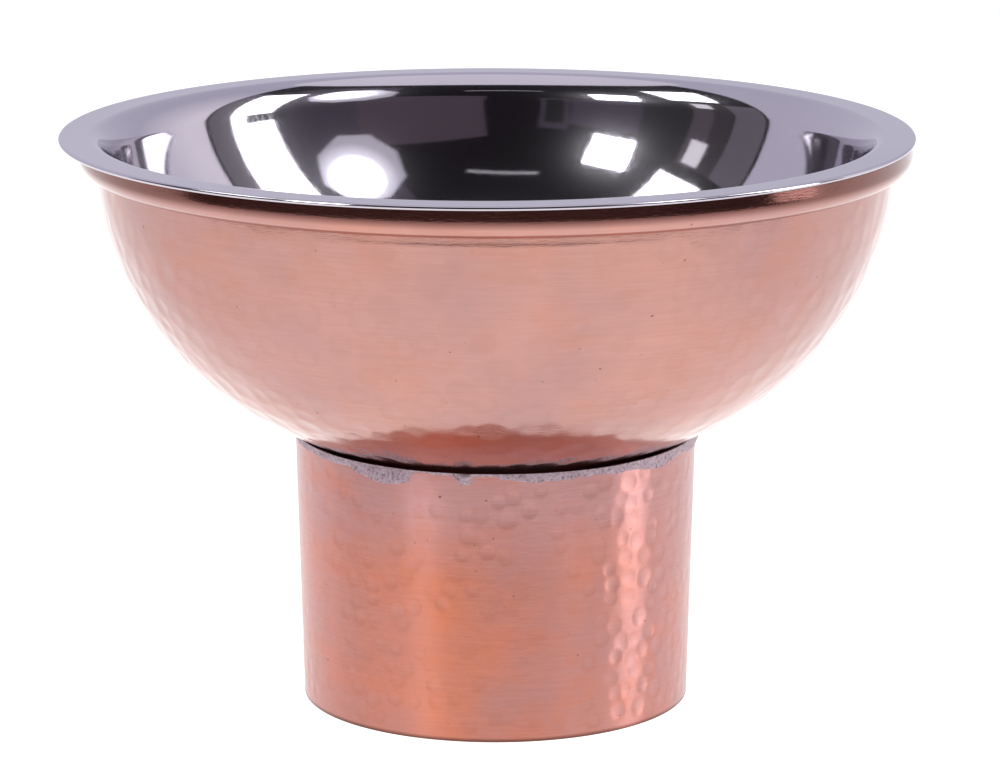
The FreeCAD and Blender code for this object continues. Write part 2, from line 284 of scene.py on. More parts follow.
class Paint:
    """A material's node tree, built with short calls."""

    def __init__(self, name):
        self.material = bpy.data.materials.new(name)
        self.material.use_nodes = True
        self.tree = self.material.node_tree
        self.tree.nodes.clear()
        self.shader = self.node("ShaderNodeBsdfPrincipled")
        self.output = self.node("ShaderNodeOutputMaterial")
        self.link(self.shader, "BSDF", self.output, "Surface")
        self.place = self.node("ShaderNodeTexCoord")

    def node(self, kind, **settings):
        made = self.tree.nodes.new(kind)
        for key, value in settings.items():
            setattr(made, key, value)
        return made

    def link(self, source, out, target, into):
        self.tree.links.new(source.outputs[out], target.inputs[into])

    def scaled(self, x, y, z):
        """The piece's own coordinates, stretched."""
        mapping = self.node("ShaderNodeMapping")
        mapping.inputs["Scale"].default_value = (x, y, z)
        self.link(self.place, "Object", mapping, "Vector")
        return mapping

    def noise(self, scale, detail=3.0, rough=0.55, stretch=(1, 1, 1)):
        """A noise texture whose scale is in waves a metre."""
        mapping = self.scaled(*(scale * s for s in stretch))
        made = self.node("ShaderNodeTexNoise")
        made.inputs["Scale"].default_value = 1.0
        made.inputs["Detail"].default_value = detail
        made.inputs["Roughness"].default_value = rough
        self.link(mapping, "Vector", made, "Vector")
        return made

    def ramp(self, source, stops, out="Fac"):
        """A colour ramp. Each stop is (place, colour), and a colour may be one grey number."""
        made = self.node("ShaderNodeValToRGB")
        self.link(source, out, made, "Fac")
        points = made.color_ramp.elements
        while len(points) < len(stops):
            points.new(0.5)
        for point, (place, colour) in zip(points, stops):
            point.position = place
            point.color = (*colour, 1) if isinstance(colour, tuple) else (colour,) * 3 + (1,)
        return made

    def mix(self, factor, first, second):
        """A colour mix. factor is (node, output), and so is a colour, unless it is plain numbers."""
        made = self.node("ShaderNodeMix", data_type="RGBA")
        self.link(factor[0], factor[1], made, MIX_FACTOR)
        for socket, value in ((MIX_FIRST, first), (MIX_SECOND, second)):
            if isinstance(value, tuple) and isinstance(value[0], bpy.types.Node):
                self.tree.links.new(value[0].outputs[value[1]], made.inputs[socket])
            else:
                made.inputs[socket].default_value = (*value, 1)
        return (made, MIX_RESULT)

    def swept(self, angle, scale, stretch):
        """Noise drawn out into long hairs that run at an angle across the piece, in degrees."""
        turned_place = self.node("ShaderNodeMapping")
        turned_place.inputs["Rotation"].default_value = (0, 0, math.radians(angle))
        self.link(self.place, "Object", turned_place, "Vector")
        mapping = self.node("ShaderNodeMapping")
        mapping.inputs["Scale"].default_value = (scale, scale * stretch, scale)
        self.link(turned_place, "Vector", mapping, "Vector")
        made = self.node("ShaderNodeTexNoise")
        made.inputs["Scale"].default_value = 1.0
        made.inputs["Detail"].default_value = 7.0
        made.inputs["Roughness"].default_value = 0.75
        self.link(mapping, "Vector", made, "Vector")
        return made

    def rise(self, low, high):
        """How far a place lies between two heights, 0 below them and 1 above."""
        parts = self.node("ShaderNodeSeparateXYZ")
        self.link(self.place, "Object", parts, "Vector")
        made = self.node("ShaderNodeMapRange")
        made.inputs["From Min"].default_value = low
        made.inputs["From Max"].default_value = high
        self.link(parts, "Z", made, "Value")
        return made

    def painted_side_reflection(self, reach):
        """0 on the middle plane, X = 0, rising to 0.8 at reach on either side."""
        parts = self.node("ShaderNodeSeparateXYZ")
        self.link(self.place, "Object", parts, "Vector")
        size = self.node("ShaderNodeMath", operation="ABSOLUTE")
        self.link(parts, "X", size, 0)
        made = self.node("ShaderNodeMapRange")
        made.inputs["From Min"].default_value = 0.35 * reach
        made.inputs["From Max"].default_value = reach
        made.inputs["To Max"].default_value = 0.8
        self.link(size, "Value", made, "Value")
        return made

    def into(self, source, socket):
        self.tree.links.new(source[0].outputs[source[1]], self.shader.inputs[socket])

    def bump(self, layers):
        """Stacked bumps: (height node, output, depth in metres)."""
        below = None
        for source, out, depth in layers:
            made = self.node("ShaderNodeBump")
            made.inputs["Distance"].default_value = depth
            self.link(source, out, made, "Height")
            if below:
                self.link(below, "Normal", made, "Normal")
            below = made
        self.link(below, "Normal", self.shader, "Normal")


def copper_material(name, body, rosy, warm, painted_reflection_beyond, painted_reflection_above, painted_shade_above, gloss, brushed):
    """Brushed copper: fine marks run round the piece, with rosy and warm clouds and dark pits.

    It turns rosy beyond painted_reflection_beyond from the middle plane: a painted reflection on the sides.
    painted_reflection_above holds the (start, end) heights of a painted reflection that lightens the top,
    and painted_shade_above those of painted shade. Each hammer mark gets a painted highlight in its hollow
    and painted shade round its edge, and the lowest edge gets painted shade. gloss is the (smoothest,
    roughest) roughness. brushed is how much wider the copper scatters across the marks than along them.
    """
    paint = Paint(name)
    paint.shader.inputs["Metallic"].default_value = 1.0
    paint.shader.inputs["Anisotropic"].default_value = brushed
    paint.shader.inputs["Anisotropic Rotation"].default_value = 0.25
    tangent = paint.node("ShaderNodeTangent", direction_type="RADIAL", axis="Z")
    paint.link(tangent, "Tangent", paint.shader, "Tangent")

    cloud = paint.ramp(paint.noise(11, 4, 0.6), [(0.38, 0.0), (0.68, 1.0)])
    base = paint.mix((cloud, "Color"), body, rosy)
    # Painted reflection: the copper is lighter and rosier above the heights in painted_reflection_above.
    base = paint.mix((paint.rise(*painted_reflection_above), "Result"), base, tuple(1.25 * c for c in rosy))
    struck = paint.node("ShaderNodeAttribute", attribute_name="struck")
    # Painted reflection: the sides, beyond painted_reflection_beyond from the middle plane, turn rosy.
    painted_side_reflection = paint.painted_side_reflection(painted_reflection_beyond)
    base = paint.mix((painted_side_reflection, "Result"), base, rosy)
    stain = paint.ramp(paint.noise(26, 5, 0.65, (1, 1, 1.6)), [(0.5, 0.0), (0.74, 0.5)])
    base = paint.mix((stain, "Color"), base, warm)
    # Painted highlight: the deeper parts of each hammer mark are lighter and rosier.
    painted_mark_highlight = paint.ramp(struck, [(0.15, 0.0), (0.7, 0.4)])
    base = paint.mix((painted_mark_highlight, "Color"), base, tuple(1.08 * c + 0.03 for c in rosy))
    # Painted shade: a dark ring round the edge of each hammer mark.
    painted_mark_shade = paint.ramp(struck, [(0.0, 0.0), (0.05, 0.14), (0.12, 0.14), (0.24, 0.0)])
    base = paint.mix((painted_mark_shade, "Color"), base, tuple(0.72 * c for c in body))
    streak = paint.ramp(paint.noise(50, 6, 0.7, (1, 1, 24)), [(0.35, 0.0), (0.7, 0.25)])
    base = paint.mix((streak, "Color"), base, tuple(0.62 * c for c in body))
    # Painted shade: the copper turns dark brown above the heights in painted_shade_above.
    base = paint.mix((paint.rise(*painted_shade_above), "Result"), base, (0.185, 0.08, 0.07))
    speck = paint.ramp(paint.noise(420, 2, 0.5), [(0.755, 0.0), (0.79, 0.9)])
    base = paint.mix((speck, "Color"), base, (0.13, 0.05, 0.04))
    grime = paint.ramp(paint.noise(150, 6, 0.8, (1, 1, 1.4)), [(0.66, 0.0), (0.78, 0.7)])
    base = paint.mix((grime, "Color"), base, (0.22, 0.09, 0.07))
    # Painted shade: the lowest 0.6 to 1.8 mm turn dark, where the foot meets the table.
    base = paint.mix((paint.rise(1.8 * MM, 0.6 * MM), "Result"), base, (0.20, 0.08, 0.06))
    paint.into(base, "Base Color")

    grain = paint.noise(240, 4, 0.6, (1, 1, 9))
    rough = paint.ramp(grain, [(0.25, gloss[0]), (0.75, gloss[1])])
    paint.into((rough, "Color"), "Roughness")
    paint.bump([(grain, "Fac", 0.03 * MM), (paint.noise(60, 2, 0.4), "Fac", 0.06 * MM)])
    return paint.material


def steel_material():
    """Mirror-polished steel with faint hairline scratches left by wiping."""
    paint = Paint("polished_steel")
    paint.shader.inputs["Metallic"].default_value = 1.0
    cloud = paint.noise(12, 3, 0.5)
    tint = paint.ramp(cloud, [(0.3, (0.50, 0.475, 0.535)), (0.7, (0.56, 0.53, 0.59))])
    paint.into((tint, "Color"), "Base Color")
    hair = paint.noise(260, 5, 0.7, (1, 3, 1))
    rough = paint.ramp(hair, [(0.35, 0.03), (0.72, 0.08)])
    paint.into((rough, "Color"), "Roughness")
    wiped = paint.swept(34, 26, 9)
    crossed = paint.swept(-52, 40, 12)
    paint.bump([(wiped, "Fac", 0.008 * MM), (crossed, "Fac", 0.005 * MM)])

    haze = paint.node("ShaderNodeBsdfAnisotropic")
    haze.inputs["Roughness"].default_value = 0.26
    paint.link(tint, "Color", haze, "Color")
    both = paint.node("ShaderNodeMixShader")
    both.inputs["Fac"].default_value = 0.09
    paint.link(paint.shader, "BSDF", both, 1)
    paint.link(haze, "BSDF", both, 2)
    paint.link(both, "Shader", paint.output, "Surface")
    return paint.material


def tin_material():
    """Matt tin solder, dull grey and speckled, with a few smoother bright runs."""
    paint = Paint("tin_solder")
    paint.shader.inputs["Metallic"].default_value = 0.75
    grains = paint.noise(900, 4, 0.65)
    tint = paint.ramp(
        grains, [(0.3, (0.13, 0.09, 0.10)), (0.5, (0.37, 0.28, 0.325)), (0.74, (0.47, 0.37, 0.42))]
    )
    paint.into((tint, "Color"), "Base Color")
    rough = paint.ramp(paint.noise(160, 3, 0.5), [(0.3, 0.42), (0.75, 0.62)])
    paint.into((rough, "Color"), "Roughness")
    paint.bump([(grains, "Fac", 0.18 * MM)])
    return paint.material


def braze_material():
    """The filed braze along the seam, yellower than the copper, with file lines across it."""
    paint = Paint("seam_braze")
    paint.shader.inputs["Metallic"].default_value = 1.0
    lines = paint.noise(500, 3, 0.6, (0.4, 0.4, 4))
    tint = paint.ramp(lines, [(0.3, (0.34, 0.17, 0.09)), (0.7, (0.52, 0.29, 0.16))])
    paint.into((tint, "Color"), "Base Color")
    rough = paint.ramp(lines, [(0.3, 0.3), (0.7, 0.45)])
    paint.into((rough, "Color"), "Roughness")
    paint.bump([(lines, "Fac", 0.05 * MM)])
    return paint.material


def give(piece, material, body, slot, *nodes):
    """Finishes a piece: its material, the body it rides on and the CAD nodes it stands for."""
    piece.data.materials.append(material)
    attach(piece, body)
    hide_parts(*nodes)


# The copper bowl.


def make_bowl():
    knuckle, crown, meet = wall_centres(SHELL_RADIUS, SHELL_WAIST, SHELL_KNUCKLE, SHELL_CROWN)
    round_centre = (COLLAR_RADIUS - COLLAR_ROUND, COLLAR_TOP - COLLAR_BAND)
    crease_z = round_centre[1] - math.sqrt(COLLAR_ROUND**2 - 0.05 * MM**2)
    crease = -math.degrees(math.asin((SHELL_WAIST - crease_z) / SHELL_KNUCKLE))
    hidden = -math.degrees(math.acos(FOOT_TOP_RADIUS * 0.97 / SHELL_CROWN))
    fine, coarse = 1.5 * MM, 9 * MM
    inner_round = COLLAR_ROUND - COPPER
    inner_crease_z = round_centre[1] - inner_round
    inner_crease = -math.degrees(
        math.asin((SHELL_WAIST - inner_crease_z) / (SHELL_KNUCKLE - COPPER))
    )
    wall_top = knuckle[0] + SHELL_KNUCKLE * math.cos(math.radians(crease))
    swage_start = crease - math.degrees(6 * MM / SHELL_KNUCKLE)
    outline = joined(
        arc(crown, SHELL_CROWN, -90, hidden, coarse),
        arc(crown, SHELL_CROWN, hidden, meet, fine),
        arc(knuckle, SHELL_KNUCKLE, meet, swage_start, fine),
        arc(knuckle, SHELL_KNUCKLE, swage_start, crease, 0.6 * MM),
        line((wall_top, crease_z), (round_centre[0], crease_z), 0.6 * MM),
        arc(round_centre, COLLAR_ROUND, -90, 0, 0.9 * MM),
        line((COLLAR_RADIUS, round_centre[1]), (COLLAR_RADIUS, COLLAR_TOP - 0.4 * MM), 1 * MM),
        line(
            (COLLAR_RADIUS - 0.4 * MM, COLLAR_TOP),
            (COLLAR_RADIUS - COPPER + 0.4 * MM, COLLAR_TOP),
            1 * MM,
        ),
        line(
            (COLLAR_RADIUS - COPPER, COLLAR_TOP - 0.4 * MM),
            (COLLAR_RADIUS - COPPER, round_centre[1]),
            3 * MM,
        ),
        arc(round_centre, inner_round, 0, -90, 2 * MM),
        arc(knuckle, SHELL_KNUCKLE - COPPER, inner_crease, meet, coarse),
        arc(crown, SHELL_CROWN - COPPER, meet, -90, coarse),
    )
    along = run_length(outline)
    top_of_wall = along[np.argmax(outline[:, 0] >= wall_top - 0.01 * MM)]
    wall_start = along[np.argmax(outline[:, 0] >= FOOT_TOP_RADIUS)]

    def radius_at(place):
        return float(np.interp(place, along, outline[:, 0]))

    band = wall_start + 48 * MM
    field = slow_field(9, 7, 30 * MM)

    def waver(angle, place):
        low = min(1.0, (top_of_wall - place) / (45 * MM))
        above_band = min(1.0, max(0.0, (place - band) / (15 * MM)))
        smooth_front = 1 - 0.6 * max(0.0, -math.sin(angle)) ** 4 * above_band
        return (0.4 + 0.6 * field(angle, place)) * (0.5 + 0.5 * low) * smooth_front

    gap, half_width, depth = 10.2 * MM, 5.6 * MM, 0.42 * MM
    places = np.arange(wall_start + 6 * MM, top_of_wall - 5 * MM, 9.0 * MM)
    marks = ring_marks(places, radius_at, gap, half_width, depth, waver)
    relief = pressed(outline, BOWL_COLUMNS, marks)

    # A faint ridge under the collar, in front only.
    ridge_below_top, ridge_half_width, ridge_height, ridge_reach = 3.4 * MM, 1.7 * MM, 0.07 * MM, 21
    angles = np.linspace(0, 2 * math.pi, BOWL_COLUMNS, endpoint=False)
    front = np.exp(-((degrees_from_front(angles) / ridge_reach) ** 4))
    across_ridge = (along - top_of_wall + ridge_below_top) / ridge_half_width
    ridge = np.clip(1 - across_ridge**2, 0, None) ** 2
    relief += ridge_height * ridge[:, None] * front
    piece = turned("bowl_hammered", outline, BOWL_COLUMNS, relief)
    material = copper_material(
        name="copper",
        body=(0.52, 0.265, 0.22),
        rosy=(0.395, 0.225, 0.215),
        warm=(0.48, 0.195, 0.13),
        painted_reflection_beyond=135 * MM,
        painted_reflection_above=NO_PAINTED_TOP_REFLECTION,
        # Painted shade and a painted dark reflection on the collar's upper band, under the steel brim.
        painted_shade_above=(COLLAR_TOP - 7.8 * MM, COLLAR_TOP - 5.2 * MM),
        gloss=(0.09, 0.15),
        brushed=0.5,
    )
    remember_marks(piece, relief, depth)
    give(piece, material, "font", "copper", "outer_bowl")


# The copper foot and its seam.


def foot_radius(height):
    return FOOT_BASE_RADIUS + (FOOT_TOP_RADIUS - FOOT_BASE_RADIUS) * height / FOOT_TOP


def make_foot():
    half_seam = SEAM_WIDTH / 2 / FOOT_TOP_RADIUS
    sector = (math.pi / 2 + half_seam, 5 * math.pi / 2 - half_seam)
    bevel = 0.3 * MM
    outline = joined(
        line((FOOT_BASE_RADIUS - COPPER + bevel, 0), (FOOT_BASE_RADIUS - bevel, 0), 1 * MM),
        line((FOOT_BASE_RADIUS, bevel), (FOOT_TOP_RADIUS, FOOT_TOP), 0.85 * MM),
        line((FOOT_TOP_RADIUS - COPPER, FOOT_TOP), (FOOT_BASE_RADIUS - COPPER, bevel), 9 * MM),
    )
    along = run_length(outline)
    base = along[np.argmax(outline[:, 0] >= FOOT_BASE_RADIUS - 0.001 * MM)]
    field = slow_field(8, 6, 26 * MM)
    # The marks are deepest on the right of the front, and faint across the middle of it.
    struck_harder = from_front(
        [(-180, 0.3), (-110, 0.3), (-60, 0.05), (24, 0), (34, 0.65), (54, 0.65), (66, 0.2), (180, 0.3)]
    )

    def waver(angle, place):
        return 0.1 + 0.5 * field(angle, place) + struck_harder(angle)

    gap, half_width, depth, deepest = 8.6 * MM, 3.5 * MM, 0.32 * MM, 0.4 * MM
    mean_radius = 74.5 * MM
    places = base + np.arange(6 * MM, FOOT_TOP - 6 * MM, 7.4 * MM)
    marks = ring_marks(places, lambda place: mean_radius, gap, half_width, depth, waver)
    edge = 5 * MM / FOOT_TOP_RADIUS
    marks = [
        (angle + 2 * math.pi if angle < sector[0] else angle, *rest)
        for angle, *rest in marks
        if abs(math.remainder(angle - math.pi / 2, 2 * math.pi)) > edge
    ]
    relief = pressed(outline, FOOT_COLUMNS, marks, sector[0], sector[1] - sector[0])
    piece = turned("foot_rolled", outline, FOOT_COLUMNS, relief, sector=sector)
    # The rim dips where the gap is open. The wall follows it near the top only.
    for vertex in piece.data.vertices:
        near_rim = (vertex.co.z / FOOT_TOP) ** 12
        vertex.co.z -= near_rim * (FOOT_TOP - rim_height_at(math.atan2(vertex.co.y, vertex.co.x)))
    material = copper_material(
        name="foot_copper",
        body=(0.68, 0.225, 0.13),
        rosy=(0.45, 0.24, 0.235),
        warm=(0.66, 0.2, 0.107),
        painted_reflection_beyond=66 * MM,
        # Painted reflection: the foot's top 25 mm is lighter and rosier.
        painted_reflection_above=(62 * MM, 88 * MM),
        # Painted shade at the foot's rim, under the bowl.
        painted_shade_above=(FOOT_TOP - 1.5 * MM, FOOT_TOP),
        gloss=(0.29, 0.37),
        brushed=0.92,
    )
    remember_marks(piece, relief, deepest)
    give(piece, material, "font", "foot_copper", "foot_tube")


def make_seam():
    """The brazed seam: a narrow strip that fills the foot's gap and stands just proud of it."""
    overlap = 1.02
    half_seam = SEAM_WIDTH / 2 / FOOT_TOP_RADIUS * overlap
    proud_outside, proud_inside, unevenness = 0.16 * MM, 0.1 * MM, 0.05 * MM
    rows, across = 100, 9
    heights = np.linspace(0, FOOT_TOP, rows)
    turn = np.linspace(-half_seam, half_seam, across)
    crown = 1 - (turn / half_seam) ** 2
    lumps = unevenness * np.sin(heights / (3.1 * MM)) * np.sin(heights / (7.7 * MM) + 1)
    outer = foot_radius(heights)[:, None] + crown * (proud_outside + lumps[:, None])
    inner = foot_radius(heights)[:, None] - COPPER - crown * proud_inside
    angle = math.pi / 2 + turn
    points = []
    for radius in (outer, inner):
        x = radius * np.cos(angle)
        y = radius * np.sin(angle)
        z = np.broadcast_to(heights[:, None], x.shape)
        points.append(np.stack([x, y, z], axis=-1).reshape(-1, 3))
    outside = np.arange(rows * across).reshape(rows, across)
    inside = outside + rows * across
    faces = []
    for i in range(rows - 1):
        for j in range(across - 1):
            faces.append((outside[i, j], outside[i, j + 1], outside[i + 1, j + 1], outside[i + 1, j]))
            faces.append((inside[i, j], inside[i + 1, j], inside[i + 1, j + 1], inside[i, j + 1]))
        faces.append((outside[i, 0], outside[i + 1, 0], inside[i + 1, 0], inside[i, 0]))
        faces.append((outside[i, -1], inside[i, -1], inside[i + 1, -1], outside[i + 1, -1]))
    for j in range(across - 1):
        faces.append((outside[0, j], inside[0, j], inside[0, j + 1], outside[0, j + 1]))
        faces.append((outside[-1, j], outside[-1, j + 1], inside[-1, j + 1], inside[-1, j]))
    piece = mesh_object("seam_filed", np.vstack(points), faces)
    give(piece, braze_material(), "font", "braze", "foot_seam")


# The solder.


# The open gap between the foot's rim and the bowl, in millimetres: solder closes it at the sides.
rim_gap = from_front(
    [
        (-180, 0), (-88, 0), (-74, 0.4), (-50, 1.0), (-20, 1.3), (30, 1.4), (55, 0.9), (80, 0.3), (92, 0),
        (180, 0),
    ]
)
# How far the solder runs down the foot, and how far out it fills the corner, in millimetres.
solder_drop = from_front(
    [
        (-180, 3.0), (-150, 5.0), (-128, 2.4), (-100, 3.2), (-88, 2.2), (-75, 2.6), (-60, 2.4), (-46, 2.6),
        (-40, 5.0), (-34, 6.2), (-29, 6.0), (-25, 4.8), (-23.4, 0.7), (-12, 0.5), (-10, 3.6), (-8.4, 4.2),
        (-6.8, 3.4), (-6.3, 0.8), (0, 1.0), (5, 2.4), (12, 3.2), (20, 3.1), (26, 2.3), (30, 1.8), (34, 2.8),
        (45, 3.4), (52, 5.0), (60, 4.2), (66, 3.0), (75, 4.6), (84, 6.2), (94, 6.4), (120, 4.2), (150, 2.4),
        (180, 3.0),
    ]
)
solder_fill = from_front(
    [
        (-180, 2.6), (-120, 3.2), (-96, 2.2), (-84, 1.5), (-76, 0.3), (-60, 0.1), (66, 0.1), (74, 0.6),
        (80, 2.8), (88, 4.2), (104, 3.4), (150, 2.2), (180, 2.6),
    ]
)


def under_bowl(radius):
    """Height of the bowl's underside at a radius."""
    crown = wall_centres(SHELL_RADIUS, SHELL_WAIST, SHELL_KNUCKLE, SHELL_CROWN)[1]
    return crown[1] - np.sqrt(SHELL_CROWN**2 - radius**2)


def rim_height_at(angles):
    """Height of the foot's rim, which was cut a little low at the front."""
    return FOOT_TOP - rim_gap(angles) * MM


def make_solder():
    """Solder run along the joint: filled into the corner at the sides and back, smeared in front."""
    skin_rows, skin_depth, least_drop = 18, 0.32 * MM, 0.35
    above_rim, into_bowl = 0.18 * MM, 0.05 * MM
    angles = np.linspace(0, 2 * math.pi, SOLDER_COLUMNS, endpoint=False)
    ripple = sum(
        size * np.sin(turns * angles + phase)
        for turns, phase, size in ((17, 0.3, 0.18), (41, 1.9, 0.16), (73, 0.8, 0.12), (131, 2.6, 0.07))
    )
    drop = np.clip(solder_drop(angles) + ripple, least_drop, None) * MM
    fill = solder_fill(angles) * MM
    rim = rim_height_at(angles)
    drip_at, drip_width, drip_depth = -8.3, 1.5, 0.9 * MM
    drip = drip_depth * np.exp(-(((degrees_from_front(angles) - drip_at) / drip_width) ** 2))

    top_radius = FOOT_TOP_RADIUS + fill
    closed = np.clip(fill / (0.8 * MM), 0, 1)
    top = rim + above_rim + closed * (under_bowl(top_radius) + into_bowl - rim - above_rim)
    toe = rim - drop
    radii, heights = [], []
    for t in np.linspace(0, 1, skin_rows):
        z = top + (toe - top) * t
        swell = skin_depth + drip * math.sin(math.pi * min(1, t + 0.2))
        skin = swell * math.sqrt(max(0, 1 - t**4))
        wall = foot_radius(np.minimum(z, FOOT_TOP))
        radii.append(wall + skin + fill * (1 - t) ** 1.4 - 0.12 * MM * t)
        heights.append(z)
    # The back of the run, hidden in the foot's wall and over its rim.
    inside, over_rim = FOOT_TOP_RADIUS - 0.9 * MM, 0.12 * MM
    radii.append(foot_radius(toe) - 0.5 * MM)
    heights.append(toe + 0.1 * MM)
    radii.append(np.full(SOLDER_COLUMNS, inside))
    heights.append(rim - 0.1 * MM)
    radii.append(np.full(SOLDER_COLUMNS, inside))
    heights.append(rim + over_rim + closed * (under_bowl(inside) + into_bowl - rim - over_rim))
    radius, height = np.array(radii), np.array(heights)
    grid = np.stack([radius * np.cos(angles), radius * np.sin(angles), height], axis=-1)
    rows = len(radius)
    index = np.arange(rows * SOLDER_COLUMNS).reshape(rows, SOLDER_COLUMNS)
    below = np.roll(index, -1, axis=0)
    quads = np.stack(
        [index, below, np.roll(below, -1, axis=1), np.roll(index, -1, axis=1)], axis=-1
    )
    piece = mesh_object("solder_run", grid.reshape(-1, 3), quads.reshape(-1, 4).tolist(), crease=60)
    give(piece, tin_material(), "font", "tin_solder", "solder_fillet")


# The steel basin.


def make_basin():
    knuckle, crown, meet = wall_centres(BASIN_RADIUS, BASIN_WAIST, BASIN_KNUCKLE, BASIN_CROWN)
    turn = math.radians(90 + BRIM_TURN)
    step = BASIN_SHOULDER - BRIM_BEND
    shoulder_z = RIM_HEIGHT - BRIM_BEND - step * math.sin(turn)
    reach = BASIN_KNUCKLE + BASIN_SHOULDER
    lean = math.degrees(math.asin((BASIN_WAIST - shoulder_z) / reach))
    shoulder = (knuckle[0] + reach * math.cos(math.radians(lean)), shoulder_z)
    bend = (shoulder[0] + step * math.cos(turn), RIM_HEIGHT - BRIM_BEND)
    round_z = BASIN_FLOOR + BASIN_FLOOR_ROUND
    rise = crown[1] - round_z
    round_r = math.sqrt((BASIN_CROWN - BASIN_FLOOR_ROUND) ** 2 - rise**2)
    floor_meet = -math.degrees(math.atan2(rise, round_r))
    fine, coarse = 2.2 * MM, 8 * MM
    edge = BRIM_RADIUS - STEEL
    hem = BRIM_RADIUS - HEM_WIDTH
    outline = joined(
        line((0, BASIN_FLOOR - STEEL), (round_r, BASIN_FLOOR - STEEL), coarse),
        arc((round_r, round_z), BASIN_FLOOR_ROUND + STEEL, -90, floor_meet, coarse),
        arc(crown, BASIN_CROWN + STEEL, floor_meet, meet, coarse),
        arc(knuckle, BASIN_KNUCKLE + STEEL, meet, -lean, coarse),
        arc(shoulder, BASIN_SHOULDER - STEEL, 180 - lean, 90 + BRIM_TURN, 1.5 * MM),
        arc(bend, BRIM_BEND - STEEL, 90 + BRIM_TURN, 90, 1 * MM),
        line((bend[0], RIM_HEIGHT - STEEL), (hem, RIM_HEIGHT - STEEL), 1 * MM),
        line((hem, RIM_HEIGHT - 1.2 * STEEL), (hem, RIM_HEIGHT - 2 * STEEL), 1 * MM),
        line((hem, RIM_HEIGHT - 2 * STEEL), (edge, RIM_HEIGHT - 2 * STEEL), 3 * MM),
        arc((edge, RIM_HEIGHT - STEEL), STEEL, -90, 90, 0.25 * MM),
        line((edge, RIM_HEIGHT), (bend[0], RIM_HEIGHT), 1.5 * MM),
        arc(bend, BRIM_BEND, 90, 90 + BRIM_TURN, 0.6 * MM),
        arc(shoulder, BASIN_SHOULDER, 90 + BRIM_TURN, 180 - lean, 0.9 * MM),
        arc(knuckle, BASIN_KNUCKLE, -lean, meet, fine),
        arc(crown, BASIN_CROWN, meet, floor_meet, fine),
        arc((round_r, round_z), BASIN_FLOOR_ROUND, floor_meet, -90, 0.8 * MM),
        line((round_r, BASIN_FLOOR), (0, BASIN_FLOOR), 3 * MM),
    )
    piece = turned("basin_polished", outline, BASIN_COLUMNS, axis_x=BASIN_X)
    give(piece, steel_material(), "basin", "polished_steel", "inner_basin")


# The studio: a white table in a light tent that is open at the front, soft boxes and a dark room.

STUDIO_CENTRE = Vector((0, 0, 190 * MM))
TENT_RADIUS = 1.9
OPEN_AZIMUTH, OPEN_ELEVATION = 104, 61


def direction(azimuth, elevation):
    """A direction from the font. Azimuth 0 points at the camera and 90 to the right, +X."""
    a, e = math.radians(azimuth), math.radians(elevation)
    return Vector((math.sin(a) * math.cos(e), -math.cos(a) * math.cos(e), math.sin(e)))


def glow(name, colour, strength):
    """A plain emitter."""
    material = bpy.data.materials.new(name)
    material.use_nodes = True
    tree = material.node_tree
    tree.nodes.clear()
    light = tree.nodes.new("ShaderNodeEmission")
    light.inputs["Color"].default_value = (*colour, 1)
    light.inputs["Strength"].default_value = strength
    output = tree.nodes.new("ShaderNodeOutputMaterial")
    tree.links.new(light.outputs[0], output.inputs["Surface"])
    return material


def distance_ramp(tree, middle, reach, stops):
    """A colour that changes with distance from a point, out to reach."""
    place = tree.nodes.new("ShaderNodeTexCoord")
    mapping = tree.nodes.new("ShaderNodeMapping")
    mapping.inputs["Location"].default_value = [-c / reach for c in middle]
    mapping.inputs["Scale"].default_value = (1 / reach,) * 3
    ball = tree.nodes.new("ShaderNodeVectorMath")
    ball.operation = "LENGTH"
    ramp = tree.nodes.new("ShaderNodeValToRGB")
    points = ramp.color_ramp.elements
    while len(points) < len(stops):
        points.new(0.5)
    for point, (where, colour) in zip(points, stops):
        point.position = where
        point.color = (*colour, 1)
    tree.links.new(place.outputs["Object"], mapping.inputs["Vector"])
    tree.links.new(mapping.outputs["Vector"], ball.inputs[0])
    tree.links.new(ball.outputs["Value"], ramp.inputs["Fac"])
    return ramp.outputs["Color"]


def graded(name, middle, reach, stops, strength=1.0):
    """An emitter whose colour changes with distance from a point."""
    material = glow(name, (1, 1, 1), strength)
    tree = material.node_tree
    colour = distance_ramp(tree, middle, reach, stops)
    tree.links.new(colour, tree.nodes["Emission"].inputs["Color"])
    return material


def unseen(piece, material):
    """A stage piece that lights the font and shows in its reflections, but not to the camera."""
    piece.data.materials.append(material)
    piece.visible_camera = False
    return piece


def panel(name, azimuth, elevation, wide, tall, material, away=1.5, corners=None):
    """A flat panel facing the font. azimuth, elevation, wide and tall are degrees from its centre."""
    way = direction(azimuth, elevation)
    centre = STUDIO_CENTRE + away * way
    right = Vector((math.cos(math.radians(azimuth)), math.sin(math.radians(azimuth)), 0))
    up = right.cross(way).normalized()
    if up.z < 0:
        up = -up
    half_wide = away * math.tan(math.radians(wide / 2))
    half_tall = away * math.tan(math.radians(tall / 2))
    shape = corners or [(-1, -1), (1, -1), (1, 1), (-1, 1)]
    points = [centre + right * (x * half_wide) + up * (y * half_tall) for x, y in shape]
    return unseen(mesh_object(name, points, [list(range(len(points)))]), material)


